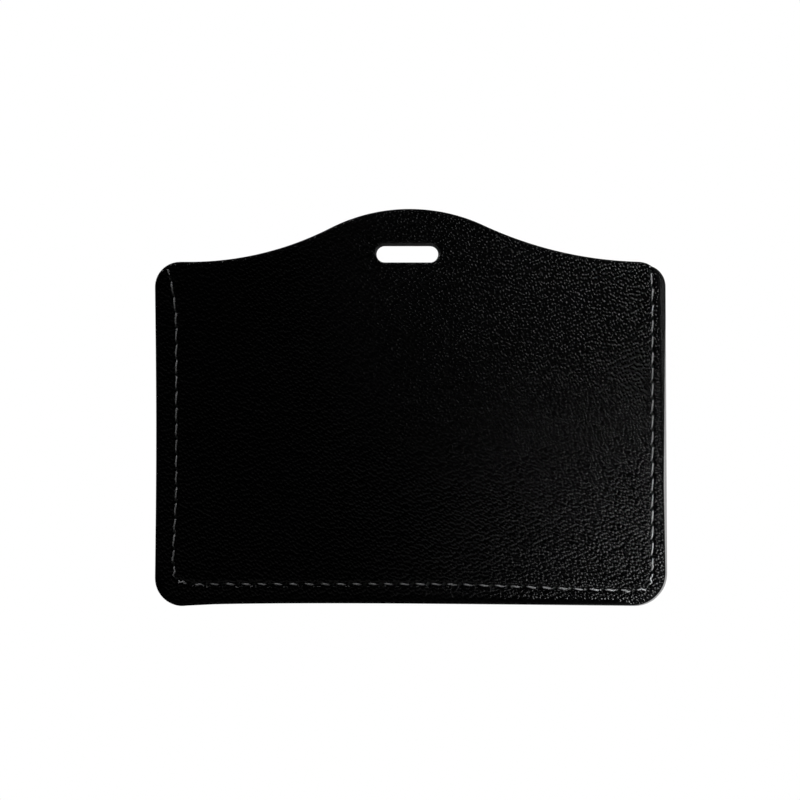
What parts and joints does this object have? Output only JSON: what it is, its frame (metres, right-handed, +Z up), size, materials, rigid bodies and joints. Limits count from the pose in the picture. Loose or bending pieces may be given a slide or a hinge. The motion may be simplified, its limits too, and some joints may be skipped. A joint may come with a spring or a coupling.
{
  "type": "id badge wallet",
  "caption": "Horizontal leather badge wallet with a humped top, a punched hang slot, a sewn seam on the sides and bottom, and a clear window pocket open at the top.",
  "frame": {"origin": "middle of the punched hang slot, halfway through the back panel's three layers", "axes": "+X across the wallet to the right as seen on the plain leather back, +Y from that back to the window front, +Z up as it hangs"},
  "size_m": [0.1106, 0.004, 0.0857],
  "materials": {
    "back_leather": "embossed imitation leather, semi-gloss black",
    "board": "grey pressed board with a matt cut edge",
    "lining": "smooth black vinyl lining",
    "window_film": "clear soft vinyl film",
    "frame_leather": "embossed imitation leather, semi-gloss black",
    "thread": "twisted polyester sewing thread, grey"
  },
  "bodies": {
    "root": {"back_leather": "back_leather", "backing_board": "board", "inner_lining": "lining", "window_film": "window_film", "front_frame": "frame_leather", "needle_thread": "thread", "bobbin_thread": "thread"}
  },
  "joints": []
}
